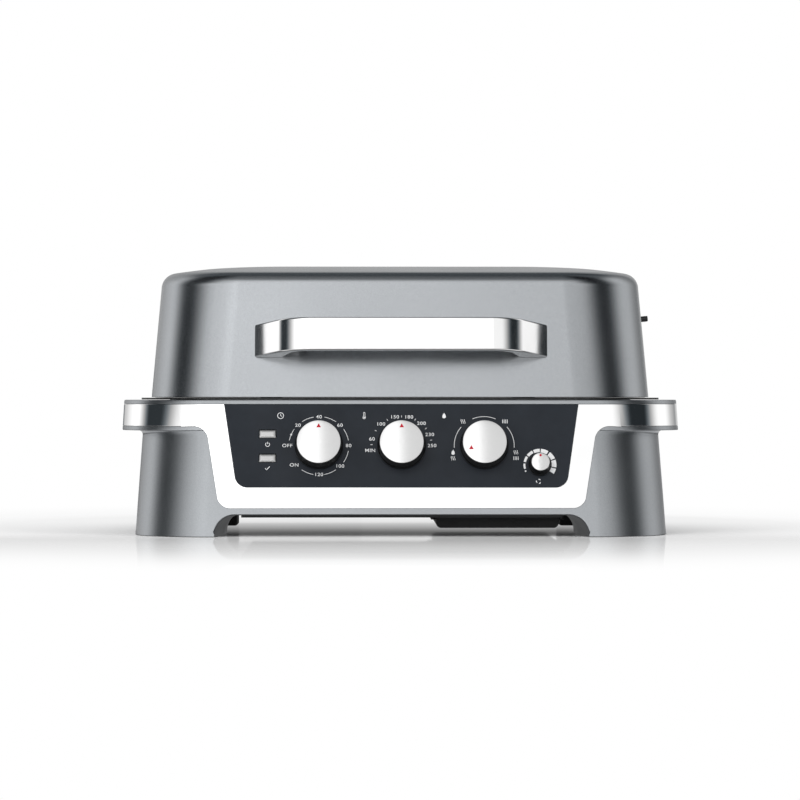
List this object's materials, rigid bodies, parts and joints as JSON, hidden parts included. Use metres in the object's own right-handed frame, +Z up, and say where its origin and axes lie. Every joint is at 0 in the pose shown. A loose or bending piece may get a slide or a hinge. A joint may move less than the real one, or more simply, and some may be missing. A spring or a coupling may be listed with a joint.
{
  "type": "electric table grill",
  "caption": "Countertop electric grill with a hinged domed lid and front handle over a cooking tub, on a four-legged housing with a tilted dial panel and a grease tray.",
  "frame": {"origin": "middle of the footprint, on the surface that the feet rest on", "axes": "+X to the right of someone facing the control panel, +Y to the rear, +Z up"},
  "size_m": [0.57, 0.4051, 0.2759],
  "materials": {
    "housing_paint": "satin",
    "lid_paint": "satin",
    "polished_steel": "polished",
    "handle_metal": "polished",
    "panel_film": "satin",
    "lens": "satin",
    "circuit_board": "satin",
    "switch_body": "matte",
    "knob_black": "satin",
    "knob_face": "satin",
    "steel": "satin",
    "element_steel": "matte",
    "liner_metal": "satin",
    "coated_cast": "matte",
    "black_sheet": "satin",
    "black_plastic": "satin",
    "rubber": "matte"
  },
  "bodies": {
    "base": {"housing": "housing_paint", "bottom_cover": "black_sheet", "trim_band": "polished_steel", "control_panel": "panel_film", "power_lens": "lens", "ready_lens": "lens", "indicator_board": "circuit_board", "timer": "switch_body", "thermostat": "switch_body", "function_switch": "switch_body", "blower_dimmer": "switch_body", "cooking_tub": "coated_cast", "grill_plate": "coated_cast", "heating_element": "element_steel", "element_rest_left": "steel", "element_rest_right": "steel", "chip_box": "steel", "chip_box_lid": "steel", "sensor_probe": "steel", "drain_funnel": "steel", "fan_frame": "black_plastic", "air_duct": "steel", "power_board": "circuit_board", "power_inlet": "black_plastic", "tray_rail_left": "black_sheet", "tray_rail_right": "black_sheet", "front_left_pad": "rubber", "front_right_pad": "rubber", "rear_left_skid": "rubber", "rear_right_skid": "rubber", "hinge_bracket_left": "black_sheet", "hinge_bracket_right": "black_sheet", "hinge_pin_left": "steel", "hinge_pin_right": "steel"},
    "lid": {"lid_shell": "lid_paint", "lid_liner": "liner_metal", "lid_seal": "rubber", "lid_handle": "handle_metal", "handle_screw_left": "steel", "handle_screw_right": "steel", "hinge_leaf_left": "steel", "hinge_leaf_right": "steel"},
    "vent": {"vent_disc": "steel", "vent_grip": "black_plastic"},
    "time_dial": {"time_knob": "knob_black", "time_knob_face": "knob_face", "time_shaft": "steel"},
    "temp_dial": {"temp_knob": "knob_black", "temp_knob_face": "knob_face", "temp_shaft": "steel"},
    "function_dial": {"function_knob": "knob_black", "function_knob_face": "knob_face", "function_shaft": "steel"},
    "blower_dial": {"blower_knob": "knob_black", "blower_knob_face": "knob_face", "blower_shaft": "steel"},
    "tray": {"grease_tray": "black_sheet"},
    "impeller": {"fan_impeller": "black_plastic"}
  },
  "joints": [
    {"name": "lid_hinge", "type": "hinge", "parent": "base", "child": "lid", "pos_m": [0, 0.19577, 0.147], "axis": [-1, 0, 0], "range_deg": [0, 85]},
    {"name": "vent_turn", "type": "hinge", "parent": "lid", "child": "vent", "pos_m": [0.25019, 0.05757, 0.222], "axis": [0.9966, 0, 0.0819], "range_deg": [0, 45]},
    {"name": "time_turn", "type": "hinge", "parent": "base", "child": "time_dial", "pos_m": [-0.0827, -0.1793, 0.0906], "axis": [0, -0.9681, 0.2504], "range_deg": [-180, 135]},
    {"name": "temp_turn", "type": "hinge", "parent": "base", "child": "temp_dial", "pos_m": [0, -0.1793, 0.0906], "axis": [0, -0.9681, 0.2504], "range_deg": [-98, 100]},
    {"name": "function_turn", "type": "hinge", "parent": "base", "child": "function_dial", "pos_m": [0.0827, -0.1793, 0.0906], "axis": [0, -0.9681, 0.2504], "range_deg": [-228, 0]},
    {"name": "blower_turn", "type": "hinge", "parent": "base", "child": "blower_dial", "pos_m": [0.1382, -0.18423, 0.07153], "axis": [0, -0.9681, 0.2504], "range_deg": [-125, 125]},
    {"name": "tray_slide", "type": "slide", "parent": "base", "child": "tray", "axis": [0, -1, 0], "range_m": [0, 0.15]},
    {"name": "impeller_spin", "type": "hinge", "parent": "base", "child": "impeller", "pos_m": [0.245, 0.01757, 0.067], "axis": [1, 0, 0], "continuous": true}
  ]
}
